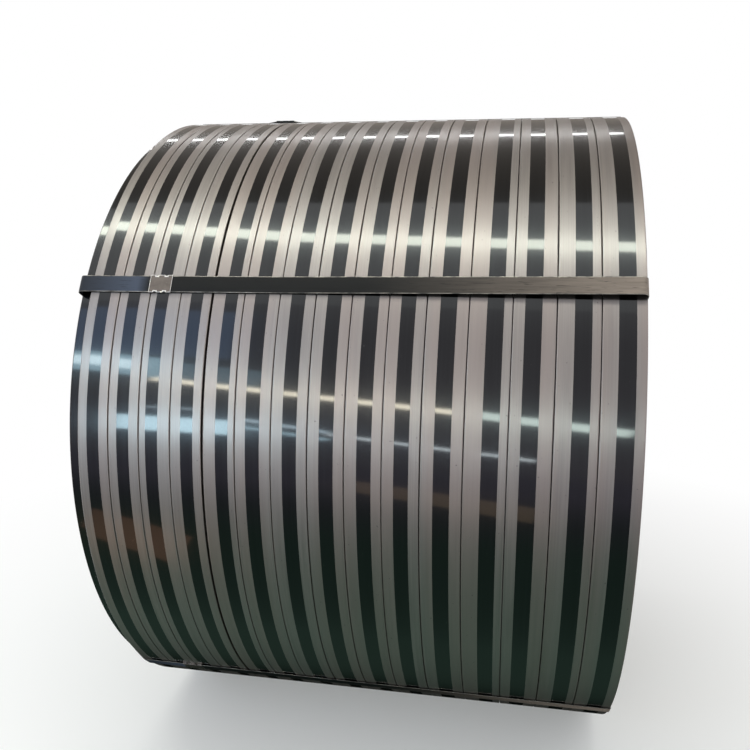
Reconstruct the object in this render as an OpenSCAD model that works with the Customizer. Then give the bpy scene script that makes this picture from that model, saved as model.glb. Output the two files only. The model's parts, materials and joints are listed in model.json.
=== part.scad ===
// Pack of slit steel strip coils, lying with the eye level, tied through the eye by steel straps.
// The coil axis is X, the front faces -Y and the origin is the middle of the bore.

/* [Coil] */
// Outside diameter of the wound strips
outer_d = 1350; // [1000:10:1800]
// Diameter of the bore, the coil's eye
bore_d = 508; // [406:1:762]
// Break on the outer and inner corners of each strip coil
corner = 1.2; // [0.6:0.1:3]
// Number of ridges of turns on each end of the pack
turn_ridges = 18; // [8:1:24]
// Depth of the grooves between the ridges of turns
turn_depth = 0.9; // [0.3:0.1:1.2]

/* [Strips] */
// Number of strip coils of each full width
strips_per_width = 5; // [3:1:6]
// Width of the trimmed edge strip at the left end
edge_w = 26; // [16:1:60]
// How much lower the edge strip is wound than the others
edge_drop = 18; // [6:1:40]
// Width of the narrow strips
narrow_w = 58; // [40:1:80]
// Width of the middle strips
middle_w = 64; // [40:1:90]
// Width of the wide strips
wide_w = 71; // [40:1:100]
// Gap left by the slitting cut between two strip coils
slit_gap = 0.6; // [0.3:0.1:0.9]
// Wider gap where two neighbours have sprung apart
open_gap = 3; // [1:0.5:6]
// Number of the strip coil that the wider gap follows
open_after = 5; // [1:1:9]

/* [Straps] */
// Width of the strap
strap_w = 32; // [19:1:40]
// Thickness of the strap
strap_t = 0.8; // [0.5:0.1:1.2]
// Height of the strap above the outside of the coil, set by the seal's lower leaf and some slack
strap_rise = 2; // [1.4:0.1:3]
// Gap between the strap and the end faces
strap_face_gap = 0.25; // [0.1:0.05:0.5]
// Gap between the strap and the bore wall
strap_bore_gap = 0.1; // [0.05:0.05:0.3]
// How far the loose front strap lifts above the right rim
rim_lift = 12; // [6:0.5:14]
// How far the loose front strap bows out past the right end face
rim_bow = 0.5; // [0.5:0.1:3]
// Inside radius of the front strap where it turns over the right rim
rim_bend = 10; // [6:1:12]
// Length over which the front strap lifts towards the right rim
rim_lift_len = 620; // [300:10:700]
// Length of the end run that comes back to the right end face
rim_return_len = 45; // [25:5:90]
// Inside radius of the front strap where it turns down past the edge strip
left_bend = 10; // [4:1:12]
// Turn of the front strap from the top of the coil towards the front
front_angle = 58.8; // [40:0.1:80]
// Turn of the top strap from the top of the coil towards the front
top_angle = 0; // [-10:1:15]
// Turn of the bottom strap from the top of the coil towards the front
bottom_angle = 136; // [120:1:150]
// Skew of the front strap, its right end higher than its left
front_skew = 0.6; // [0:0.1:3]
// How far the slack of the top strap holds its seal off the coil
top_slack = 3.5; // [2:0.5:8]
// Length of each slope of the top strap up to its seal
slack_len = 20; // [15:1:40]

/* [Seals] */
// Length of a seal along the strap
seal_len = 42; // [30:1:60]
// Sheet thickness of a seal
seal_t = 0.8; // [0.5:0.1:0.9]
// Clearance between the seal and the strap, and under the seal
seal_gap = 0.2; // [0.1:0.05:0.25]
// Radius of the crimping notches
notch_r = 3; // [2:0.5:4]
// Depth of the crimping notches in the seal's edges
notch_depth = 2; // [1:0.5:2.5]
// Spacing of the two notches on an edge
notch_pitch = 18; // [12:1:24]
// Distance of the front seal from the left end face
front_seal_inset = 161; // [120:1:300]
// Distance of the top seal from the left end face
top_seal_inset = 233; // [120:1:300]
// Distance of the bottom seal from the left end face
bottom_seal_inset = 137; // [120:1:300]

/* [Hidden] */
outer_r = outer_d / 2;
bore_r = bore_d / 2;
edge_r = outer_r - edge_drop;
strip_count = 1 + 3 * strips_per_width;
widths = [edge_w, for (w = [narrow_w, middle_w, wide_w], i = [1 : strips_per_width]) w];
gaps = [for (i = [1 : strip_count - 1]) i == open_after ? open_gap : slit_gap];
pack_w = sum(widths) + sum(gaps);
left_x = -pack_w / 2;
right_x = pack_w / 2;
first_full_x = strip_left(1);
strap_r = outer_r + strap_rise;
seal_floor_r = outer_r + seal_gap;
seal_w = strap_w + 2 * (seal_gap + seal_t);
slot_h = strap_rise + strap_t - seal_t;
seal_h = slot_h + 2 * seal_t;
bend_steps = 4;
overshoot = 10;
$fn = 180;

function sum(list, last) =
    let (n = is_undef(last) ? len(list) : last)
    n == 0 ? 0 : list[n - 1] + sum(list, n - 1);
function strip_name(i) = str("strip_coil_", i < 9 ? "0" : "", i + 1);
function strip_left(i) = left_x + sum(widths, i) + sum(gaps, i);
function strip_r(i) = i == 0 ? edge_r : outer_r;

// One side of a strip coil from the bore to the outside: flat, or with ridges of turns
function side_line(x, r, inward) =
    let (
        low = bore_r + corner,
        steps = inward == 0 ? 1 : 2 * turn_ridges,
        step = (r - corner - low) / steps
    )
    [for (k = [0 : steps]) [low + k * step, x + inward * turn_depth * (k % 2)]];
function backwards(list) = [for (i = [len(list) - 1 : -1 : 0]) list[i]];

// A strap's line round the coil's section, on the side that faces the steel
function slack_rise(along, slack) =
    let (flat = seal_len / 2 + seal_t)
    slack == 0 ? [] : [
        [strap_r, along + flat + slack_len],
        [strap_r + slack, along + flat],
        [strap_r + slack, along - flat],
        [strap_r, along - flat - slack_len]
    ];
function bend(r, x, radius, start) = [
    for (k = [0 : bend_steps])
        let (a = start + 90 * k / bend_steps)
        [r + radius * sin(a), x + radius * cos(a)]
];
function eye_run() = [
    [bore_r + corner, left_x - strap_face_gap],
    [bore_r - strap_bore_gap, left_x + corner],
    [bore_r - strap_bore_gap, right_x - corner],
    [bore_r + corner, right_x + strap_face_gap]
];
// A tight strap follows the right rim and drops on to the edge strip
function tight_line(along, slack) = concat(
    eye_run(),
    [
        [outer_r - corner, right_x + strap_face_gap],
        [strap_r, right_x - corner]
    ],
    slack_rise(along, slack),
    [
        [strap_r, first_full_x],
        [edge_r + strap_rise, left_x + corner],
        [edge_r - corner, left_x - strap_face_gap]
    ]
);
// The loose strap lifts above the right rim and runs straight out over the edge strip
function loose_line() = concat(
    eye_run(),
    [[outer_r - rim_return_len, right_x + strap_face_gap]],
    bend(outer_r + rim_lift - rim_bend, right_x + rim_bow - rim_bend, rim_bend, 0),
    [[strap_r, right_x - rim_lift_len]],
    bend(strap_r - left_bend, left_x - strap_face_gap + left_bend, left_bend, 90)
);

// A closed line moved outwards, away from the steel, by a distance
function outward(v) = [-v[1], v[0]] / norm(v);
function moved_point(line, i, distance) =
    let (
        n = len(line),
        before = outward(line[i] - line[(i + n - 1) % n]),
        after = outward(line[(i + 1) % n] - line[i])
    )
    line[i] + distance * (before + after) / (1 + before * after);
function moved_line(line, distance) =
    [for (i = [0 : len(line) - 1]) moved_point(line, i, distance)];

// A section of radius and place along the axis, turned about the coil's axis with its seam on top
module turned(section) {
    rotate([0, 90, 0])
        rotate([0, 0, 180])
            rotate_extrude()
                polygon(section);
}

module strip_coil(i) {
    r = strip_r(i);
    x0 = strip_left(i);
    x1 = x0 + widths[i];
    left_inward = i == 0 ? 1 : 0;
    right_inward = i == strip_count - 1 ? -1 : 0;
    color("#9c9a97")
        turned(concat(
            side_line(x0, r, left_inward),
            [[r, x0 + corner], [r, x1 - corner]],
            backwards(side_line(x1, r, right_inward)),
            [[bore_r, x1 - corner], [bore_r, x0 + corner]]
        ));
}

// Steel strap that runs over the outside, down both ends and back through the eye
module strap(angle, skew, line) {
    reach = outer_r + rim_lift + overshoot;
    color("#25272b")
        rotate([angle, 0, 0])
            intersection() {
                difference() {
                    turned(moved_line(line, strap_t));
                    turned(line);
                }
                rotate([0, 0, skew])
                    translate([-pack_w, -strap_w / 2, 0])
                        cube([2 * pack_w, strap_w, reach]);
            }
}

// Folded sleeve that grips the strap, crimped by two notches on each edge
module seal(angle, skew, inset, slack) {
    along = left_x + inset;
    turn_here = -atan(along * tan(skew) / outer_r);
    color("#8a807a")
        rotate([angle + turn_here, 0, 0])
            translate([along, 0, seal_floor_r + slack])
                rotate([0, 0, skew])
                    difference() {
                        translate([-seal_len / 2, -seal_w / 2, 0])
                            cube([seal_len, seal_w, seal_h]);
                        translate([-seal_len, -seal_w / 2 + seal_t, seal_t])
                            cube([2 * seal_len, seal_w - 2 * seal_t, slot_h]);
                        for (x = [-notch_pitch / 2, notch_pitch / 2], side = [-1, 1])
                            translate([x, side * (seal_w / 2 + notch_r - notch_depth), -overshoot])
                                cylinder(r = notch_r, h = seal_h + 2 * overshoot, $fn = 48);
                    }
}

module strap_front() { strap(front_angle, front_skew, loose_line()); }
module strap_top() { strap(top_angle, 0, tight_line(left_x + top_seal_inset, top_slack)); }
module strap_bottom() { strap(bottom_angle, 0, tight_line(left_x + bottom_seal_inset, 0)); }
module seal_front() { seal(front_angle, front_skew, front_seal_inset, 0); }
module seal_top() { seal(top_angle, 0, top_seal_inset, top_slack); }
module seal_bottom() { seal(bottom_angle, 0, bottom_seal_inset, 0); }

for (i = [0 : strip_count - 1])
    strip_coil(i);
strap_front();
strap_top();
strap_bottom();
seal_front();
seal_top();
seal_bottom();
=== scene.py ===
import json
import math

import bmesh
import bpy
from bpy.props import FloatProperty, FloatVectorProperty, IntProperty, PointerProperty
from mathutils import Matrix, Vector


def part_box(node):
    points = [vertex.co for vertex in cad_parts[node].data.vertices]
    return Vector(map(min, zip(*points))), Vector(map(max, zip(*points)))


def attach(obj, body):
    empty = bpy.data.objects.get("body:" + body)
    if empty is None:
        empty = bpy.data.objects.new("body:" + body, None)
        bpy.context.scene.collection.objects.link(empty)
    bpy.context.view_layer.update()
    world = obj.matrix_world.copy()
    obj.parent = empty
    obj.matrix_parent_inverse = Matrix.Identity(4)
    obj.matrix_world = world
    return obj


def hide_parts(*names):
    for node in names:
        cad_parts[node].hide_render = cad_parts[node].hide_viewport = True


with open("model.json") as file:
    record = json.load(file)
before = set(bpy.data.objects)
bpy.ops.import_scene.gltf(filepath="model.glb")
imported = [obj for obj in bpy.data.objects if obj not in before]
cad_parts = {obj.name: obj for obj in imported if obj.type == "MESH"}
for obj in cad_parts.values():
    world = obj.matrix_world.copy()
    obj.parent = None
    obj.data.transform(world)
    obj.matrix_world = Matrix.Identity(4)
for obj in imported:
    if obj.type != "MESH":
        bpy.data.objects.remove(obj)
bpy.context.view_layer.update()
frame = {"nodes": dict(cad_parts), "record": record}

bl_info = {
    "name": "Strapped Strip Coils",
    "version": (1, 0, 0),
    "blender": (4, 5, 0),
    "location": "3D View > Sidebar > Strip Coils",
    "description": "Dresses a pack of slit steel strip coils with its straps and seals, and sets its stage",
    "category": "Object",
}

MM = 0.001
BODY = "root"

# What the frame gives: the coil's axis is X, the front faces -Y and the origin is the middle of the bore
STRIPS = sorted(name for name in frame["nodes"] if name.startswith("strip_coil_"))
STRAPS = ("front", "top", "bottom")
PACK_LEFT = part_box(STRIPS[0])[0].x
PACK_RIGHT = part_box(STRIPS[-1])[1].x
FIRST_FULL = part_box(STRIPS[1])[0].x
EDGE_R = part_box(STRIPS[0])[1].z
OUTER_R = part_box(STRIPS[1])[1].z
BORE_R = frame["record"]["mounts"][0]["dims"]["r_mm"] * MM
FLOOR_Z = -OUTER_R

# Where the bright stripe starts on each strip, in mm from the strip's left edge
STRIPE_INSETS = (1, 17.5, 16.5, 12.5, 19.5, 23, 19, 20.5, 20.5, 21.5, 20.5, 22.5, 29, 19.5, 28, 26)

# Name, start, end, width, radiance and colour of each bar or panel lamp
LAMPS = (
    ("key_bar_left", (-1.9, -0.70, 2.4), (-0.66, -0.985, 2.4), 0.16, 17, "#faffee"),
    ("key_bar_right", (-0.66, -0.985, 2.4), (1.1, -1.14, 2.4), 0.16, 17, "#faffee"),
    ("back_bar", (-2.6, 1.74, 2.4), (0.78, 1.78, 2.4), 0.07, 12, "#ffffff"),
    ("front_bar_left", (-2.05, -4, 1.35), (0, -4, 0.82), 0.10, 21, "#fff6de"),
    ("front_bar_right", (0, -4, 0.82), (0.95, -4, 0.54), 0.16, 15, "#ecfff6"),
    ("upper_left_panel", (-3.3, -4, 2.9), (-1.7, -4, 2.75), 1.4, 1.2, "#8cb8f0"),
    ("left_panel", (-2.85, -4, 1.86), (-1.98, -4, 1.62), 0.5, 8, "#b4dcec"),
    ("left_panel_core", (-2.8, -4, 1.88), (-2.2, -4, 1.7), 0.24, 12, "#e6f6fa"),
    ("left_panel_fade", (-1.98, -4, 1.6), (-1.3, -4, 1.42), 0.42, 2.6, "#a8d0e4"),
    ("low_left_panel", (-2.2, -4, 0.26), (-1.38, -4, 0.23), 0.34, 19, "#c8e8f4"),
    ("low_left_edge", (-2.0, -4, 0.64), (-1.65, -4, 0.63), 0.04, 9, "#cfe6f2"),
    ("low_bar_upper", (-1.38, -4, 0.45), (-0.8, -4, 0.24), 0.06, 13, "#cfe6f2"),
    ("low_bar_lower", (-1.38, -4, 0.28), (-0.8, -4, 0.07), 0.06, 11, "#bfe2f0"),
    ("low_bar", (-0.8, -4, 0.2), (0.42, -4, -0.15), 0.05, 16, "#e4f0f4"),
    ("floor_bar", (-0.45, -2.75, -0.62), (0.38, -2.0, -0.62), 0.22, 1.2, "#d8b890"),
    ("floor_patch", (-0.95, -1.3, -0.62), (-0.55, -1.05, -0.62), 0.3, 1.0, "#e0a080"),
    ("side_panel", (-3.2, -1.9, -0.5), (-3.2, -1.9, 2.0), 0.8, 4, "#dfe9ff"),
)

# The dark card lies on the floor before the coil, widens away from it and turns up at its far foot; it
# glows in set tones that show only in the steel, as painted reflections
FLAG_NEAR_Y = -0.05
FLAG_FAR_Y = -6
FLAG_NEAR_HALF = 0.52
FLAG_FAR_HALF = 6
FLAG_TOP_Z = 6.5
FLAG_LIFT = 3 * MM
# Its tones: where each starts and is full, in metres along the card from its far foot, and its colour
FLAG_NEAR_TONE = "#060907"
FLAG_TONES = (
    (-5.65, -5.35, "#557163"),
    (-4.6, -4.0, "#686d70"),
    (-4.0, -3.0, "#9c95a6"),
    (-2.0, 0.4, "#b0a8b0"),
    (0.4, 2.0, "#b8b1b8"),
    (2.0, 4.0, "#bcb8bc"),
    (5.0, 7.2, "#d6d3d5"),
)

# The grey card hangs above and behind the coil and glows in a set tone, a painted reflection in the steel
OVERHEAD_TONE = "#8a837c"
OVERHEAD_AT = (-1, 8.8, 5)
OVERHEAD_REACH = 9

# The floor fades to plain white between two distances from the coil's middle
FLOOR_REACH = 30
FLOOR_FADE = (0.9, 2.0)
FLOOR_LEAST_GLOW = 0.2
WHITE = (1, 1, 1, 1)

# The camera's sensor width in mm, and the nearest it sees in metres
SENSOR_MM = 36
CLIP_START = 0.05

# Where the straps' painted sheen and their rubbing with its painted reflection rise and fall along the
# coil's axis, and how late the rubbing comes
SHEEN_RISE = (-0.5, -0.39)
SHEEN_FALL = (-0.385, -0.362)
RUB_AND_SHEEN_RISE = (0.02, 0.5)
RUB_AND_SHEEN_POWER = 1.6

# Steps of rounded corners, bends and edges
CORNER_STEPS = 3
BEND_STEPS = 6
EDGE_STEPS = 2

# What tells places, faces and edges apart
SAME_PLACE = 0.001 * MM
END_FACING = 0.8
OUT_FACING = 0.9
STRAP_RIM_ANGLE = math.radians(60)
SEAL_EDGE_ANGLE = math.radians(40)
FLAT_ANGLE = math.radians(2)

# Directions along and across a strap, before it is turned to its place
ALONG = Vector((1, 0, 0))
ACROSS = Vector((0, 1, 0))


def linear(code):
    """Linear colour of an sRGB hex value such as #8a807a."""
    parts = [int(code[i:i + 2], 16) / 255 for i in (1, 3, 5)]
    return tuple(c / 12.92 if c <= 0.04045 else ((c + 0.055) / 1.055) ** 2.4 for c in parts)


def length(name, description, default_mm):
    """A size property, given in millimetres and kept in metres."""
    return FloatProperty(name=name, description=description, default=default_mm * MM, min=0, unit="LENGTH")


def colour(name, description, code):
    """A colour property, given as an sRGB hex value and kept linear."""
    return FloatVectorProperty(
        name=name, description=description, default=linear(code), min=0, max=1, subtype="COLOR", size=3
    )


def turn(name, description, degrees):
    """An angle property, given in degrees and kept in radians."""
    return FloatProperty(name=name, description=description, default=math.radians(degrees), subtype="ANGLE")


class StripCoilSettings(bpy.types.PropertyGroup):
    """Sizes and colours of the wound strips."""

    corner: length("Corner", "Radius of the rounded strip edges", 1.2)
    edge_roll: length("Edge roll", "Width of the rolled-over margin beside each rounded edge", 0.8)
    seam: length("Seam", "How far a strip's sides stand back at the slits, more or less in turn", 0.35)
    turn_depth: length("Turn depth", "Depth of the grooves between ridges of turns on the two ends", 0.9)
    turn_pitch: length("Turn pitch", "Spacing of the turns that show on the two ends", 5)
    turn_ridges: IntProperty(
        name="Turn ridges", description="Number of ridges of turns on each end", default=18, min=2
    )
    steps: IntProperty(name="Steps", description="Steps of the spin round the axis", default=420, min=48)
    stripe_share: FloatProperty(
        name="Stripe share",
        description="Width of the bright stripe as a share of the strip's width",
        default=0.395,
        subtype="FACTOR",
    )
    edge_stripe: length("Edge strip's stripe", "Width of the bright stripe on the lower edge strip", 23.6)
    satin: colour("Satin steel", "Dull finish on both sides of each strip", "#8b8481")
    # The stripe's dark tone is painted: it stands in for the dark surroundings that the mirror finish
    # reflects
    bright: colour("Bright steel", "Dark mirror finish of the stripe", "#26282a")
    fleck: colour("Flecks", "Pale flecks in the bright stripe", "#9a9a98")
    slit: colour("Slit edges", "Sheared edges that show on the two ends", "#8d8780")


class StrapSettings(bpy.types.PropertyGroup):
    """Sizes, places and colours of the straps."""

    width: length("Width", "Width of the strap", 32)
    thickness: length("Thickness", "Thickness of the strap", 0.8)
    rise: length("Rise", "Height of the strap above the coil", 2)
    face_gap: length("End gap", "Gap between the strap and the end faces", 0.25)
    bore_gap: length("Bore gap", "Gap between the strap and the bore wall", 0.1)
    rim_lift: length("Rim lift", "How far the front strap lifts above the right rim", 12)
    rim_bow: length("Rim bow", "How far the front strap bows out past the right end", 0.5)
    rim_bend: length("Rim bend", "Inside radius of the front strap over the right rim", 10)
    rim_lift_len: length("Lift length", "Length over which the front strap lifts to the right rim", 620)
    rim_return_len: length("Return length", "Length of the end run back to the right end face", 45)
    left_bend: length("Left bend", "Inside radius of the front strap past the edge strip", 10)
    corner_bend: length("Corner bend", "Radius of the tight bends", 1.3)
    edge_band: length("Edge band", "Width of the rubbed band along both edges", 1.3)
    edge_round: length("Edge round", "Rounding of the strap's edges", 0.25)
    # The next four settings size the painted shadow that the satin steel shows below the front strap
    shadow_line: length("Shadow line", "Width of the dark wax below the front strap's lower edge", 2.5)
    shadow_full: length("Shadow width", "Width of the thin wax there before it fades", 3)
    shadow_haze: length("Shadow haze", "Width of the thin wax there until it has gone", 12)
    shadow_spread: length("Shadow spread", "How much further the wax reaches at the lifted right end", 3.5)
    slack: length("Slack", "How far the top strap's seal stands off the coil", 3.5)
    slack_len: length("Slack length", "Length of each slope up to the top strap's seal", 20)
    front_angle: turn("Front turn", "Turn of the front strap from the top towards the front", 58.8)
    top_angle: turn("Top turn", "Turn of the top strap from the top towards the front", 0)
    bottom_angle: turn("Bottom turn", "Turn of the bottom strap from the top towards the front", 136)
    front_skew: turn("Front skew", "Skew of the front strap, its right end higher", 0.6)
    paint: colour("Waxed black", "Black paint and wax on the strap", "#0a0b0c")
    # Painted sheen: this blue-grey stands in for light on the bent strap near the left end
    painted_haze: colour("Painted sheen", "Dusty wax towards the left end", "#3c4352")
    # Scuffs, lightened towards the lifted right rim by a painted reflection
    scuff_and_sheen: colour("Scuffs and sheen", "Rubbed places where grey steel shows", "#857970")
    bare: colour("Bare edges", "Steel that shows along the strap's edges", "#8f8a84")


class SealSettings(bpy.types.PropertyGroup):
    """Sizes, places and colours of the crimped seals."""

    length: length("Length", "Length of a seal along the strap", 42)
    sheet: length("Sheet", "Sheet thickness of a seal", 0.8)
    gap: length("Gap", "Clearance round the strap and under the seal", 0.2)
    notch_pitch: length("Notch pitch", "Spacing of the two notches on an edge", 18)
    crimp_reach: length("Crimp reach", "Half width of the bright metal round a notch", 4)
    rim: length("Rim", "Width of the rubbed rim round a seal", 0.9)
    front_inset: length("Front inset", "Distance of the front seal from the left end face", 161)
    top_inset: length("Top inset", "Distance of the top seal from the left end face", 233)
    bottom_inset: length("Bottom inset", "Distance of the bottom seal from the left end face", 137)
    edge_round: length("Edge round", "Rounding of the seal's edges", 0.2)
    zinc: colour("Zinc", "Dull zinc of the seal", "#6d6560")
    crimp: colour("Crimped zinc", "Bright metal where the tool bit", "#d8d4cf")
    # The top seal's black is painted shade
    black: colour("Black seal", "Black lacquer of the top seal", "#0c0d0f")


class StageSettings(bpy.types.PropertyGroup):
    """The camera, the floor and the light."""

    camera_at: FloatVectorProperty(
        name="Camera",
        description="Place of the camera",
        default=(0.298, -1.928, 0.4885),
        unit="LENGTH",
        size=3,
    )
    yaw: turn("Yaw", "Turn of the camera to the left of straight ahead", 10.35)
    pitch: turn("Pitch", "Tilt of the camera, down is negative", -12.10)
    lens: FloatProperty(name="Lens", description="Focal length in mm on a 36 mm sensor", default=38.28)
    floor: colour("Floor", "Pale studio floor", "#f1f1f0")
    fill: FloatProperty(name="Fill", description="Strength of the plain light from all round", default=0.8)


# The colour sockets of a Mix node
MIX_A, MIX_B, MIX_OUT = 6, 7, 2


def add_node(tree, kind, inputs=(), out=0, **settings):
    """Adds a node with its settings, fills its inputs with values or links, and returns an output."""
    node = tree.nodes.new(kind)
    for key, value in settings.items():
        setattr(node, key, value)
    for key, value in inputs.items() if isinstance(inputs, dict) else enumerate(inputs):
        if isinstance(value, bpy.types.NodeSocket):
            tree.links.new(value, node.inputs[key])
        else:
            node.inputs[key].default_value = value
    return node.outputs[out] if node.outputs else None


def new_material(name):
    """An empty node material; returns it with its tree and its Object coordinates."""
    material = bpy.data.materials.new(name)
    material.use_nodes = True
    tree = material.node_tree
    tree.nodes.clear()
    return material, tree, add_node(tree, "ShaderNodeTexCoord", out="Object")


def shade(tone, factor=1):
    """A colour made lighter or darker, with its alpha."""
    return (*(min(1, c * factor) for c in tone), 1)


def grain(tree, place, along_mm, across_mm, detail=3):
    """A pattern whose grains have a length along the coil's axis and one in the other two directions."""
    scale = [1 / (size * MM) for size in (along_mm, across_mm, across_mm)]
    stretched = add_node(tree, "ShaderNodeMapping", {"Vector": place, "Scale": scale})
    return add_node(tree, "ShaderNodeTexNoise", {"Vector": stretched, "Scale": 1, "Detail": detail})


def layered(tree, base, *layers):
    """Layers of colour over a base, each with its pattern, start and full value, strength and colour."""
    colour_so_far = base
    for pattern, start, full, strength, tone in layers:
        share = add_node(tree, "ShaderNodeMapRange", (pattern, start, full, 0, strength))
        mixed = {0: share, MIX_A: colour_so_far, MIX_B: tone}
        colour_so_far = add_node(tree, "ShaderNodeMix", mixed, MIX_OUT, data_type="RGBA")
    return colour_so_far


def painted_strap_shadow(tree, place, s):
    """Share of the painted shadow on the steel beneath the loose front strap and just below it."""
    edge = s.width / 2
    down = (math.tan(s.front_skew), -math.cos(s.front_angle), -math.sin(s.front_angle))
    below = add_node(tree, "ShaderNodeVectorMath", (place, down), "Value", operation="DOT_PRODUCT")
    axes = add_node(tree, "ShaderNodeSeparateXYZ", (place,)).node.outputs
    lift_start = PACK_RIGHT - s.rim_lift_len
    # The painted shadow reaches further where the strap lifts towards the right rim
    spread = add_node(tree, "ShaderNodeMapRange", (axes["X"], lift_start, PACK_RIGHT, 0, s.shadow_spread))
    past = add_node(tree, "ShaderNodeMath", (below, spread), operation="SUBTRACT")
    line = add_node(tree, "ShaderNodeMapRange", (past, edge, edge + s.shadow_line, 0.6, 0))
    painted_haze = add_node(tree, "ShaderNodeMapRange", (past, edge + s.shadow_full, edge + s.shadow_haze, 0.36, 0))
    share = add_node(tree, "ShaderNodeMath", (line, painted_haze), operation="ADD")
    for limits in ((below, -edge, 0, 0, 1), (axes["Y"], -BORE_R, 0, 1, 0)):
        limit = add_node(tree, "ShaderNodeMapRange", limits)
        share = add_node(tree, "ShaderNodeMath", (share, limit), operation="MULTIPLY")
    return share


def satin_rolled_steel(settings, straps):
    """Dull-finished cold-rolled strip."""
    # A soft grey sheen under a film of rolling oil, warmer on some strips, with smears and dark specks
    # Rolling lines are finer than 0.1 mm and are drawn 1.6 mm apart, so that they show
    material, tree, place = new_material("satin_rolled_steel")
    tone = settings.satin
    warm = (tone[0] * 1.08, tone[1] * 0.94, tone[2] * 0.9)
    lines = grain(tree, place, 1.6, 260)
    rolled = layered(
        tree,
        shade(tone, 0.9),
        (lines, 0.3, 0.7, 1, shade(tone, 1.1)),
        (grain(tree, place, 22, 190), 0.55, 0.75, 0.45, shade(tone, 0.72)),
        (grain(tree, place, 60, 2500, detail=0), 0.42, 0.58, 0.4, shade(warm)),
        (grain(tree, place, 5, 5, detail=1), 0.77, 0.8, 0.7, shade(tone, 0.25)),
        # Painted shadow: the steel goes nearly black under and just below the loose front strap
        (painted_strap_shadow(tree, place, straps), 0, 1, 1, shade(tone, 0.04)),
    )
    roughness = add_node(tree, "ShaderNodeMapRange", (lines, 0.3, 0.7, 0.48, 0.58))
    bump = add_node(tree, "ShaderNodeBump", {"Height": lines, "Strength": 0.25, "Distance": 0.05 * MM})
    shader = add_node(
        tree,
        "ShaderNodeBsdfPrincipled",
        {
            "Base Color": rolled,
            "Metallic": 1,
            "Roughness": roughness,
            "Normal": bump,
            "Coat Weight": 1,
            "Coat Roughness": 0.27,
            "Coat IOR": 1.8,
        },
    )
    add_node(tree, "ShaderNodeOutputMaterial", {"Surface": shader})
    return material


def bright_rolled_steel(settings):
    """Mirror-bright stripe of the strip."""
    # Painted dark, for the dark surroundings that the mirror finish reflects, under a clear film of oil, so
    # lamps stand in it as sharp bars with a glow, wavering a little
    # Its rolling lines are drawn as coarse as the satin's
    material, tree, place = new_material("bright_rolled_steel")
    tone = settings.bright
    lines = grain(tree, place, 1.6, 260)
    waves = grain(tree, place, 60, 150, detail=0)
    rolled = layered(
        tree,
        shade(tone, 0.88),
        (lines, 0.3, 0.7, 1, shade(tone, 1.12)),
        (grain(tree, place, 4, 4, detail=1), 0.81, 0.83, 0.7, shade(settings.fleck)),
    )
    roughness = add_node(tree, "ShaderNodeMapRange", (lines, 0.3, 0.7, 0.2, 0.26))
    bump = add_node(tree, "ShaderNodeBump", {"Height": waves, "Strength": 1, "Distance": 0.12 * MM})
    shader = add_node(
        tree,
        "ShaderNodeBsdfPrincipled",
        {
            "Base Color": rolled,
            "Metallic": 1,
            "Roughness": roughness,
            "Normal": bump,
            "Coat Weight": 1,
            "Coat Roughness": 0.07,
            "Coat IOR": 1.46,
            "Coat Normal": bump,
        },
    )
    add_node(tree, "ShaderNodeOutputMaterial", {"Surface": shader})
    return material


def slit_steel_edges(settings):
    """Sheared edges of the turns, one beside the other on the two ends."""
    # Close concentric lines of bright and dull edges, with darker rings where oil sits between the turns
    # Real turns are under 1 mm thick and are drawn at the coarser turn pitch, so that they show
    material, tree, place = new_material("slit_steel_edges")
    tone = settings.slit
    flat = add_node(tree, "ShaderNodeVectorMath", (place, (0, 1, 1)), operation="MULTIPLY")
    radius = add_node(tree, "ShaderNodeVectorMath", (flat,), "Value", operation="LENGTH")
    pitch = {"W": radius, "Scale": 1 / settings.turn_pitch, "Detail": 4}
    rings = add_node(tree, "ShaderNodeTexNoise", pitch, noise_dimensions="1D")
    oiled = layered(
        tree,
        shade(tone, 0.45),
        (rings, 0.3, 0.7, 1, shade(tone, 1.2)),
        (grain(tree, place, 90, 90), 0.5, 0.75, 0.5, shade(tone, 0.4)),
    )
    roughness = add_node(tree, "ShaderNodeMapRange", (rings, 0.3, 0.7, 0.5, 0.34))
    bump = add_node(tree, "ShaderNodeBump", {"Height": rings, "Strength": 0.8, "Distance": 0.4 * MM})
    shader = add_node(
        tree,
        "ShaderNodeBsdfPrincipled",
        {"Base Color": oiled, "Metallic": 1, "Roughness": roughness, "Normal": bump},
    )
    add_node(tree, "ShaderNodeOutputMaterial", {"Surface": shader})
    return material


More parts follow.
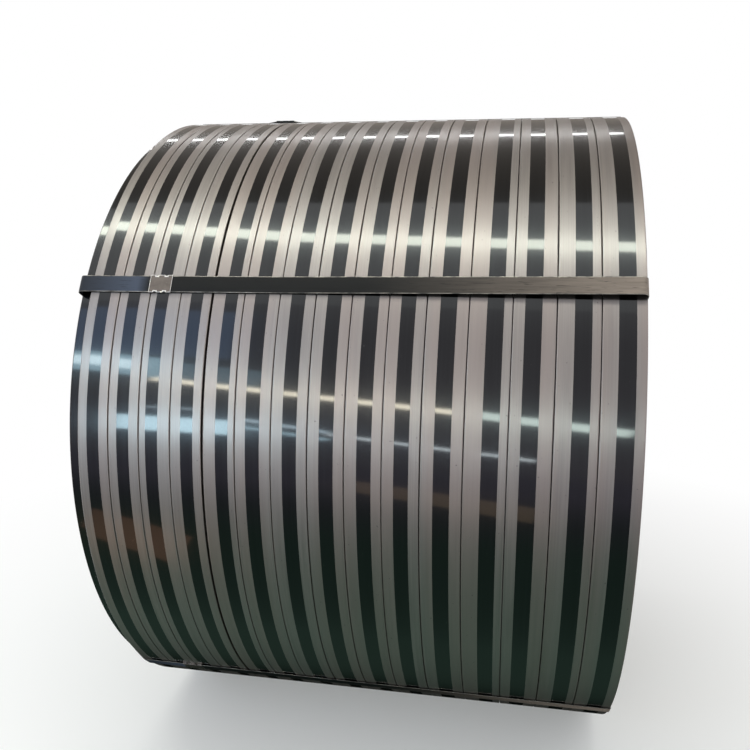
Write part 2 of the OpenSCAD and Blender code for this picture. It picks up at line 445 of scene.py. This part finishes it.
def waxed_strap_steel(settings):
    """Painted and waxed steel strapping."""
    # Near black with a faint sheen, a painted blue-grey sheen at the left end, brown-grey scuffs with a
    # painted reflection to the right rim
    material, tree, place = new_material("waxed_strap_steel")
    paint = shade(settings.paint)
    streaks = grain(tree, place, 70, 4)
    scratches = grain(tree, place, 26, 1.6, detail=2)
    along = add_node(tree, "ShaderNodeSeparateXYZ", (place,), "X")
    # Painted sheen: blue-grey near the left end with a lighter patch before the seal, standing in for light
    # on the bent strap
    rise = add_node(tree, "ShaderNodeMapRange", (along, *SHEEN_RISE, 0.2, 1))
    fall = add_node(tree, "ShaderNodeMapRange", (along, *SHEEN_FALL, 1, 0))
    painted_sheen = add_node(tree, "ShaderNodeMath", (rise, fall), operation="MULTIPLY")
    # Rubbing grows towards the right rim: brown-grey scuffs with a painted reflection of the light on the
    # lifted strap
    reach = add_node(tree, "ShaderNodeMapRange", (along, *RUB_AND_SHEEN_RISE, 0, 1))
    rub_and_sheen_ramp = add_node(tree, "ShaderNodeMath", (reach, RUB_AND_SHEEN_POWER), operation="POWER")
    streaked = add_node(tree, "ShaderNodeMapRange", (streaks, 0.35, 0.65, 0.7, 1))
    rubbed = add_node(tree, "ShaderNodeMath", (rub_and_sheen_ramp, streaked), operation="MULTIPLY")
    worn = layered(
        tree,
        paint,
        (painted_sheen, 0, 1, 1, shade(settings.painted_haze)),
        (rubbed, 0, 1, 1, shade(settings.scuff_and_sheen)),
        (scratches, 0.62, 0.7, 0.7, paint),
    )
    roughness = add_node(tree, "ShaderNodeMapRange", (streaks, 0.3, 0.7, 0.34, 0.5))
    bump = add_node(tree, "ShaderNodeBump", {"Height": streaks, "Strength": 0.3, "Distance": 0.1 * MM})
    shader = add_node(
        tree,
        "ShaderNodeBsdfPrincipled",
        {"Base Color": worn, "Roughness": roughness, "Normal": bump, "Specular IOR Level": 0.2},
    )
    add_node(tree, "ShaderNodeOutputMaterial", {"Surface": shader})
    return material


def rubbed_strap_edge(settings):
    """Edge of the strap where the paint has gone."""
    # Bare steel in a thin line, broken by what paint is left
    material, tree, place = new_material("rubbed_strap_edge")
    bare = add_node(tree, "ShaderNodeMapRange", (grain(tree, place, 18, 18), 0.35, 0.6, 0.1, 1))
    worn = layered(tree, shade(settings.paint), (bare, 0, 1, 1, shade(settings.bare)))
    shader = add_node(
        tree, "ShaderNodeBsdfPrincipled", {"Base Color": worn, "Metallic": bare, "Roughness": 0.4}
    )
    add_node(tree, "ShaderNodeOutputMaterial", {"Surface": shader})
    return material


def dull_zinc(settings):
    """Zinc-coated sheet of the seals."""
    # Warm grey with faint crystals and a few rubs
    material, tree, place = new_material("dull_zinc")
    tone = settings.zinc
    crystals = grain(tree, place, 9, 9)
    rubbed = layered(
        tree,
        shade(tone, 0.88),
        (crystals, 0.35, 0.65, 1, shade(tone, 1.1)),
        (grain(tree, place, 14, 2), 0.66, 0.76, 0.3, shade(settings.crimp)),
    )
    roughness = add_node(tree, "ShaderNodeMapRange", (crystals, 0.3, 0.7, 0.42, 0.52))
    shader = add_node(
        tree, "ShaderNodeBsdfPrincipled", {"Base Color": rubbed, "Metallic": 1, "Roughness": roughness}
    )
    add_node(tree, "ShaderNodeOutputMaterial", {"Surface": shader})
    return material


def crimped_zinc(settings):
    """Seal metal bared and bent by the crimping tool."""
    # Bright glints round the notches
    material, tree, place = new_material("crimped_zinc")
    dents = grain(tree, place, 3, 3)
    bump = add_node(tree, "ShaderNodeBump", {"Height": dents, "Strength": 1, "Distance": 0.8 * MM})
    shader = add_node(
        tree,
        "ShaderNodeBsdfPrincipled",
        {"Base Color": shade(settings.crimp), "Metallic": 1, "Roughness": 0.28, "Normal": bump},
    )
    add_node(tree, "ShaderNodeOutputMaterial", {"Surface": shader})
    return material


def black_lacquer(settings):
    """Black seal of the top strap, its black a painted shade."""
    # Painted shade: nearly black with a dull sheen, mottled, and rubbed to grey in fine marks along the
    # strap
    material, tree, place = new_material("black_lacquer")
    tone = settings.black
    mottle = grain(tree, place, 8, 8)
    rubbed = layered(
        tree,
        shade(tone, 0.8),
        (mottle, 0.35, 0.65, 1, shade(tone, 1.4)),
        (grain(tree, place, 16, 1.5), 0.64, 0.74, 0.35, shade(settings.zinc)),
    )
    roughness = add_node(tree, "ShaderNodeMapRange", (mottle, 0.3, 0.7, 0.4, 0.52))
    shader = add_node(
        tree,
        "ShaderNodeBsdfPrincipled",
        {"Base Color": rubbed, "Roughness": roughness, "Specular IOR Level": 0.2},
    )
    add_node(tree, "ShaderNodeOutputMaterial", {"Surface": shader})
    return material


def add_piece(name, mesh_edit, materials, node):
    """Turns a bmesh into a finished piece that stands for a CAD node."""
    mesh = bpy.data.meshes.new(name)
    mesh_edit.to_mesh(mesh)
    mesh_edit.free()
    for material in materials:
        mesh.materials.append(material)
    piece = bpy.data.objects.new(name, mesh)
    bpy.context.scene.collection.objects.link(piece)
    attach(piece, BODY)
    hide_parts(node)


def everything(shape):
    """All vertices, edges and faces of a bmesh."""
    return shape.verts[:] + shape.edges[:] + shape.faces[:]


def cut_across(shape, normal, places):
    """Cuts a shape with planes at the given places along a direction."""
    for place in places:
        bmesh.ops.bisect_plane(shape, geom=everything(shape), plane_co=normal * place, plane_no=normal)


def turn_all(shape, angle, axis):
    """Turns a whole shape about an axis through the origin."""
    bmesh.ops.rotate(shape, verts=shape.verts[:], cent=(0, 0, 0), matrix=Matrix.Rotation(angle, 3, axis))


def wire_from(points):
    """A bmesh with one face through points of the XZ plane, each (x, z)."""
    shape = bmesh.new()
    shape.faces.new([shape.verts.new((x, 0, z)) for x, z in points])
    return shape


def round_corners(shape, corners, radius, segments):
    """Rounds the given corners of a flat face."""
    bmesh.ops.bevel(
        shape,
        geom=corners,
        offset=radius,
        offset_type="OFFSET",
        affect="VERTICES",
        segments=segments,
        profile=0.5,
        material=-1,
    )


def soften(shape, edges, radius):
    """Rounds the given edges of a solid."""
    bmesh.ops.bevel(
        shape,
        geom=edges,
        offset=radius,
        offset_type="OFFSET",
        affect="EDGES",
        segments=EDGE_STEPS,
        profile=0.5,
        clamp_overlap=True,
        material=-1,
    )


def strip_section(settings, low, high, outer_r, cuts, ridged_x):
    """The closed section of one strip coil: rounded corners, cuts across, and ridges on an outer end."""
    shape = wire_from(((low, BORE_R), (high, BORE_R), (high, outer_r), (low, outer_r)))
    round_corners(shape, shape.verts[:], settings.corner, CORNER_STEPS)
    bmesh.ops.delete(shape, geom=shape.faces[:], context="FACES_ONLY")
    cut_across(shape, ALONG, cuts)
    if ridged_x is not None:
        side = [e for e in shape.edges if all(abs(v.co.x - ridged_x) < SAME_PLACE for v in e.verts)]
        bmesh.ops.subdivide_edges(shape, edges=side, cuts=2 * settings.turn_ridges - 1)
        inward = 1 if ridged_x == low else -1
        line = [v for v in shape.verts if abs(v.co.x - ridged_x) < SAME_PLACE]
        line.sort(key=lambda v: v.co.z)
        for groove in line[1::2]:
            groove.co.x += inward * settings.turn_depth
    return shape


# Places of a strip's materials
SATIN, BRIGHT, SLIT = 0, 1, 2


class STRIPCOIL_OT_strip_coils(bpy.types.Operator):
    """Spin the sixteen strip coils with their satin and bright stripes"""

    bl_idname = "stripcoil.strip_coils"
    bl_label = "Strip Coils"

    def execute(self, context):
        settings = context.scene.strip_coils
        satin = satin_rolled_steel(settings, context.scene.strip_straps)
        materials = [satin, bright_rolled_steel(settings), slit_steel_edges(settings)]
        for index, node in enumerate(STRIPS):
            self.add_strip(settings, materials, index, node)
        return {"FINISHED"}

    def add_strip(self, settings, materials, index, node):
        """Spins one strip coil and gives its faces their finishes."""
        low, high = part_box(node)
        stripe_low = low.x + STRIPE_INSETS[index] * MM
        stripe_w = settings.edge_stripe if index == 0 else settings.stripe_share * (high.x - low.x)
        stripe_high = stripe_low + stripe_w
        first, last = index == 0, index == len(STRIPS) - 1
        # The sides stand back by half of the seam, all of it and one and a half times it in turn
        back = settings.seam * (0.5 + index % 3 / 2)
        left = low.x if first else low.x + back
        right = high.x if last else high.x - back
        margin = settings.corner + settings.edge_roll
        cuts = (left + margin, stripe_low, stripe_high, right - margin)
        ridged_x = left if first else right if last else None
        shape = strip_section(settings, left, right, high.z, cuts, ridged_x)
        bmesh.ops.spin(
            shape,
            geom=shape.verts[:] + shape.edges[:],
            cent=(0, 0, 0),
            axis=(1, 0, 0),
            angle=math.tau,
            steps=settings.steps,
            use_merge=True,
        )
        bmesh.ops.remove_doubles(shape, verts=shape.verts[:], dist=SAME_PLACE)
        bmesh.ops.recalc_face_normals(shape, faces=shape.faces[:])
        shape.normal_update()
        for face in shape.faces:
            face.smooth = True
            middle = face.calc_center_median()
            outside = middle.yz.length > high.z - settings.corner / 2
            if abs(face.normal.x) > END_FACING:
                face.material_index = SLIT
            elif outside and stripe_low < middle.x < stripe_high:
                face.material_index = BRIGHT
            else:
                face.material_index = SATIN
        add_piece(node.replace("coil", "coil_wound"), shape, materials, node)


class STRIPCOIL_OT_straps(bpy.types.Operator):
    """Bend the three steel straps over the outside, down both ends and through the eye"""

    bl_idname = "stripcoil.straps"
    bl_label = "Straps"

    def execute(self, context):
        settings = context.scene.strip_straps
        seal = context.scene.strip_seals
        materials = [waxed_strap_steel(settings), rubbed_strap_edge(settings)]
        lines = {
            "front": self.loose_line(settings),
            "top": self.tight_line(settings, self.slack_rise(settings, seal)),
            "bottom": self.tight_line(settings, []),
        }
        for place in STRAPS:
            self.add_strap(settings, materials, place, lines[place])
        return {"FINISHED"}

    def slack_rise(self, s, seal):
        """Corners of the slack that lifts the top strap's seal off the coil."""
        middle = PACK_LEFT + seal.top_inset
        flat = seal.length / 2 + seal.sheet
        strap_r = OUTER_R + s.rise
        return [
            (middle + flat + s.slack_len, strap_r, 0),
            (middle + flat, strap_r + s.slack, 0),
            (middle - flat, strap_r + s.slack, 0),
            (middle - flat - s.slack_len, strap_r, 0),
        ]

    def tight_line(self, s, slack_rise):
        """Corners (x, radius, bend) of a tight strap, which drops on to the lower edge strip."""
        return [
            (PACK_LEFT - s.face_gap, BORE_R - s.bore_gap, s.corner_bend),
            (PACK_RIGHT + s.face_gap, BORE_R - s.bore_gap, s.corner_bend),
            (PACK_RIGHT + s.face_gap, OUTER_R + s.rise, s.corner_bend),
            *slack_rise,
            (FIRST_FULL, OUTER_R + s.rise, s.corner_bend),
            (PACK_LEFT - s.face_gap, EDGE_R + s.rise, s.corner_bend),
        ]

    def loose_line(self, s):
        """Corners of the front strap, which lifts above the right rim and runs out at the left."""
        return [
            (PACK_LEFT - s.face_gap, BORE_R - s.bore_gap, s.corner_bend),
            (PACK_RIGHT + s.face_gap, BORE_R - s.bore_gap, s.corner_bend),
            (PACK_RIGHT + s.face_gap, OUTER_R - s.rim_return_len, 0),
            (PACK_RIGHT + s.rim_bow, OUTER_R + s.rim_lift, s.rim_bend),
            (PACK_RIGHT - s.rim_lift_len, OUTER_R + s.rise, 0),
            (PACK_LEFT - s.face_gap, OUTER_R + s.rise, s.left_bend),
        ]

    def add_strap(self, s, materials, place, line):
        """Extrudes a strap's line to its width, gives it its thickness and wraps it round the coil."""
        shape = wire_from([(x, radius) for x, radius, bend in line])
        corners = list(zip(shape.verts[:], line))
        for radius in sorted({bend for x, r, bend in line if bend > 0}):
            bent = [v for v, (x, r, bend) in corners if bend == radius]
            round_corners(shape, bent, radius, BEND_STEPS)
        bmesh.ops.delete(shape, geom=shape.faces[:], context="FACES_ONLY")
        half = s.width / 2
        bmesh.ops.translate(shape, verts=shape.verts[:], vec=(0, -half, 0))
        made = bmesh.ops.extrude_edge_only(shape, edges=shape.edges[:])["geom"]
        moved = [v for v in made if isinstance(v, bmesh.types.BMVert)]
        bmesh.ops.translate(shape, verts=moved, vec=(0, s.width, 0))
        cut_across(shape, ACROSS, (s.edge_band - half, -half / 2, 0, half / 2, half - s.edge_band))
        bmesh.ops.recalc_face_normals(shape, faces=shape.faces[:])
        bmesh.ops.solidify(shape, geom=shape.faces[:], thickness=-s.thickness)
        bmesh.ops.recalc_face_normals(shape, faces=shape.faces[:])
        rims = [e for e in shape.edges if e.is_manifold and e.calc_face_angle() > STRAP_RIM_ANGLE]
        soften(shape, [e for e in rims if abs(abs(e.verts[0].co.y) - half) < SAME_PLACE], s.edge_round)
        for face in shape.faces:
            face.smooth = True
            if abs(face.calc_center_median().y) > half - s.edge_band:
                face.material_index = 1
        turn_all(shape, s.front_skew if place == "front" else 0, "Z")
        # Wrap the flat band round the coil: each point's height becomes its distance from the axis
        for v in shape.verts:
            v.co.z = math.sqrt(v.co.z ** 2 - v.co.y ** 2)
        turn_all(shape, getattr(s, place + "_angle"), "X")
        add_piece("strap_band_" + place, shape, materials, "strap_" + place)


class STRIPCOIL_OT_seals(bpy.types.Operator):
    """Finish the three crimped seals"""

    bl_idname = "stripcoil.seals"
    bl_label = "Seals"

    def execute(self, context):
        settings = context.scene.strip_seals
        straps = context.scene.strip_straps
        plain = [dull_zinc(settings), crimped_zinc(settings)]
        # The top seal gets the black of the painted shade
        black = [black_lacquer(settings)]
        for place in STRAPS:
            self.add_seal(settings, straps, black if place == "top" else plain, place)
        return {"FINISHED"}

    def seat(self, s, straps, place):
        """Where a seal sits: its own frame has X along the strap and Z outwards."""
        along = PACK_LEFT + getattr(s, place + "_inset")
        skew = straps.front_skew if place == "front" else 0
        slack = straps.slack if place == "top" else 0
        turned = getattr(straps, place + "_angle") - math.atan(along * math.tan(skew) / OUTER_R)
        out = Matrix.Translation((along, 0, OUTER_R + s.gap + slack))
        return Matrix.Rotation(turned, 4, "X") @ out @ Matrix.Rotation(skew, 4, "Z")

    def add_seal(self, s, straps, materials, place):
        """Cuts a copy of the CAD seal into its rubbed and crimped faces and rounds its edges."""
        node = "seal_" + place
        shape = bmesh.new()
        shape.from_mesh(frame["nodes"][node].data)
        bmesh.ops.remove_doubles(shape, verts=shape.verts[:], dist=SAME_PLACE)
        bmesh.ops.dissolve_limit(shape, angle_limit=FLAT_ANGLE, verts=shape.verts[:], edges=shape.edges[:])
        seat = self.seat(s, straps, place)
        bmesh.ops.transform(shape, matrix=seat.inverted(), verts=shape.verts[:])
        near, far = s.notch_pitch / 2 - s.crimp_reach, s.notch_pitch / 2 + s.crimp_reach
        half_w = straps.width / 2 + s.gap + s.sheet
        inner = half_w - s.crimp_reach
        rim_x, rim_y = s.length / 2 - s.rim, half_w - s.rim
        cut_across(shape, ALONG, (-rim_x, -far, -near, near, far, rim_x))
        cut_across(shape, ACROSS, (-rim_y, -inner, inner, rim_y))
        shape.normal_update()
        for face in shape.faces:
            middle = face.calc_center_median()
            crimped = near < abs(middle.x) < far and abs(middle.y) > inner
            rubbed = abs(middle.x) > rim_x or abs(middle.y) > rim_y
            bright = face.normal.z > OUT_FACING and (crimped or rubbed)
            face.material_index = int(bright and len(materials) > 1)
        sharp = [e for e in shape.edges if e.is_manifold and e.calc_face_angle() > SEAL_EDGE_ANGLE]
        soften(shape, sharp, s.edge_round)
        bmesh.ops.transform(shape, matrix=seat, verts=shape.verts[:])
        add_piece("seal_sleeve_" + place, shape, materials, node)


def seen_strength(tree, seen, unseen):
    """One strength for what the camera, metal or glass sees, and another for light on dull surfaces."""
    path = add_node(tree, "ShaderNodeLightPath").node.outputs
    shown = path["Is Camera Ray"]
    for ray in ("Is Glossy Ray", "Is Transmission Ray"):
        shown = add_node(tree, "ShaderNodeMath", (shown, path[ray]), operation="MAXIMUM")
    return add_node(tree, "ShaderNodeMapRange", (shown, 0, 1, unseen, seen))


def add_stage_object(name, shape, material):
    """Turns a bmesh into an object of the stage."""
    mesh = bpy.data.meshes.new(name)
    shape.to_mesh(mesh)
    shape.free()
    mesh.materials.append(material)
    stage_object = bpy.data.objects.new(name, mesh)
    bpy.context.scene.collection.objects.link(stage_object)
    return stage_object


class STRIPCOIL_OT_stage(bpy.types.Operator):
    """Set the floor, the light and the camera"""

    bl_idname = "stripcoil.stage"
    bl_label = "Stage"

    def execute(self, context):
        settings = context.scene.strip_stage
        context.scene.view_settings.view_transform = "Standard"
        self.add_world(context.scene, settings)
        self.add_floor(settings)
        self.add_front_flag()
        self.add_overhead_flag()
        for lamp in LAMPS:
            self.add_strip_lamp(*lamp)
        self.add_camera(context.scene, settings)
        return {"FINISHED"}

    def add_world(self, scene, settings):
        """Plain white light from all round."""
        world = bpy.data.worlds.new("white_studio")
        world.use_nodes = True
        tree = world.node_tree
        tree.nodes.clear()
        strength = seen_strength(tree, 1, settings.fill)
        light = add_node(tree, "ShaderNodeBackground", {"Color": WHITE, "Strength": strength})
        add_node(tree, "ShaderNodeOutputWorld", {"Surface": light})
        scene.world = world

    def add_floor(self, settings):
        """A pale floor that keeps the coil's shadow and fades to white away from it."""
        shape = bmesh.new()
        bmesh.ops.create_grid(shape, x_segments=1, y_segments=1, size=FLOOR_REACH)
        bmesh.ops.translate(shape, verts=shape.verts[:], vec=(0, 0, FLOOR_Z))
        material, tree, place = new_material("pale_floor")
        dull = add_node(
            tree,
            "ShaderNodeBsdfPrincipled",
            {"Base Color": shade(settings.floor), "Roughness": 0.9, "Specular IOR Level": 0.1},
        )
        strength = seen_strength(tree, 1, settings.fill)
        glow = add_node(tree, "ShaderNodeEmission", {"Color": WHITE, "Strength": strength})
        away = add_node(tree, "ShaderNodeVectorMath", (place,), "Value", operation="LENGTH")
        fade = add_node(tree, "ShaderNodeMapRange", (away, *FLOOR_FADE, FLOOR_LEAST_GLOW, 1))
        faded = add_node(tree, "ShaderNodeMixShader", (fade, dull, glow))
        add_node(tree, "ShaderNodeOutputMaterial", {"Surface": faded})
        add_stage_object("studio_floor", shape, material)

    def add_flag(self, name, shape, material, tone):
        """Hangs a card that glows in the given tone and is seen only in the steel, as a painted reflection.
        """
        tree = material.node_tree
        glow = add_node(tree, "ShaderNodeEmission", {"Color": tone, "Strength": 1})
        add_node(tree, "ShaderNodeOutputMaterial", {"Surface": glow})
        flag = add_stage_object(name, shape, material)
        for kind in ("camera", "diffuse", "transmission", "volume_scatter", "shadow"):
            setattr(flag, "visible_" + kind, False)

    def add_overhead_flag(self):
        """A grey card above and behind the coil."""
        shape = bmesh.new()
        bmesh.ops.create_grid(shape, x_segments=1, y_segments=1, size=OVERHEAD_REACH)
        bmesh.ops.translate(shape, verts=shape.verts[:], vec=OVERHEAD_AT)
        material = new_material("grey_card")[0]
        self.add_flag("overhead_flag", shape, material, shade(linear(OVERHEAD_TONE)))

    def add_front_flag(self):
        """A dark card on the floor before the coil and up behind the camera."""
        shape = bmesh.new()
        half_len = (FLAG_NEAR_Y - FLAG_FAR_Y) / 2
        middle_y = (FLAG_NEAR_Y + FLAG_FAR_Y) / 2
        bmesh.ops.create_grid(shape, x_segments=1, y_segments=1, size=1)
        bmesh.ops.scale(shape, verts=shape.verts[:], vec=(FLAG_FAR_HALF, half_len, 1))
        near = [v for v in shape.verts if v.co.y > 0]
        bmesh.ops.scale(shape, verts=near, vec=(FLAG_NEAR_HALF / FLAG_FAR_HALF, 1, 1))
        bmesh.ops.translate(shape, verts=shape.verts[:], vec=(0, middle_y, FLOOR_Z + FLAG_LIFT))
        foot = [e for e in shape.edges if all(v.co.y < middle_y for v in e.verts)]
        made = bmesh.ops.extrude_edge_only(shape, edges=foot)["geom"]
        top = [v for v in made if isinstance(v, bmesh.types.BMVert)]
        bmesh.ops.translate(shape, verts=top, vec=(0, 0, FLAG_TOP_Z - FLOOR_Z))
        material, tree, place = new_material("dark_card")
        axes = add_node(tree, "ShaderNodeSeparateXYZ", (place,)).node.outputs
        rise = add_node(tree, "ShaderNodeMath", (axes["Z"], axes["Y"]), operation="SUBTRACT")
        path = add_node(tree, "ShaderNodeMath", (rise, FLAG_FAR_Y - FLOOR_Z), operation="ADD")
        layers = [(path, start, full, 1, shade(linear(code))) for start, full, code in FLAG_TONES]
        tone = layered(tree, shade(linear(FLAG_NEAR_TONE)), *layers)
        self.add_flag("front_flag", shape, material, tone)

    def add_strip_lamp(self, name, start, end, width, radiance, code):
        """An area lamp between two points, turned to the coil's axis."""
        start, end = Vector(start), Vector(end)
        middle = (start + end) / 2
        run = (end - start).normalized()
        back = Vector((0, middle.y, middle.z)).normalized()
        side = back.cross(run).normalized()
        back = run.cross(side)
        light = bpy.data.lights.new(name, "AREA")
        light.shape = "RECTANGLE"
        light.size = (end - start).length
        light.size_y = width
        light.energy = radiance * math.pi * light.size * width
        light.color = linear(code)
        lamp = bpy.data.objects.new(name, light)
        turned = Matrix((run, side, back)).transposed().to_4x4()
        lamp.matrix_world = Matrix.Translation(middle) @ turned
        bpy.context.scene.collection.objects.link(lamp)

    def add_camera(self, scene, settings):
        """The camera at the photograph's viewing angle."""
        lens = bpy.data.cameras.new("photo_camera")
        lens.lens = settings.lens
        lens.sensor_width = SENSOR_MM
        lens.clip_start = CLIP_START
        camera = bpy.data.objects.new("photo_camera", lens)
        camera.location = settings.camera_at
        camera.rotation_euler = (math.radians(90) + settings.pitch, 0, settings.yaw)
        scene.collection.objects.link(camera)
        scene.camera = camera


class STRIPCOIL_PT_sidebar(bpy.types.Panel):
    """Lists the pieces of the pack and its stage."""

    bl_label = "Strip Coils"
    bl_idname = "STRIPCOIL_PT_sidebar"
    bl_space_type = "VIEW_3D"
    bl_region_type = "UI"
    bl_category = "Strip Coils"

    def draw(self, context):
        scene = context.scene
        rows = (
            ("stripcoil.strip_coils", scene.strip_coils),
            ("stripcoil.straps", scene.strip_straps),
            ("stripcoil.seals", scene.strip_seals),
            ("stripcoil.stage", scene.strip_stage),
        )
        for operator, settings in rows:
            box = self.layout.box()
            box.operator(operator)
            for key in settings.bl_rna.properties.keys():
                if key not in {"rna_type", "name"}:
                    box.prop(settings, key)


SETTINGS = {
    "strip_coils": StripCoilSettings,
    "strip_straps": StrapSettings,
    "strip_seals": SealSettings,
    "strip_stage": StageSettings,
}
CLASSES = (
    *SETTINGS.values(),
    STRIPCOIL_OT_strip_coils,
    STRIPCOIL_OT_straps,
    STRIPCOIL_OT_seals,
    STRIPCOIL_OT_stage,
    STRIPCOIL_PT_sidebar,
)


def register():
    for cls in CLASSES:
        bpy.utils.register_class(cls)
    for key, cls in SETTINGS.items():
        setattr(bpy.types.Scene, key, PointerProperty(type=cls))


def unregister():
    for key in SETTINGS:
        delattr(bpy.types.Scene, key)
    for cls in reversed(CLASSES):
        bpy.utils.unregister_class(cls)


def main():
    register()
    bpy.ops.stripcoil.strip_coils()
    bpy.ops.stripcoil.straps()
    bpy.ops.stripcoil.seals()
    bpy.ops.stripcoil.stage()


if __name__ == "__main__":
    main()
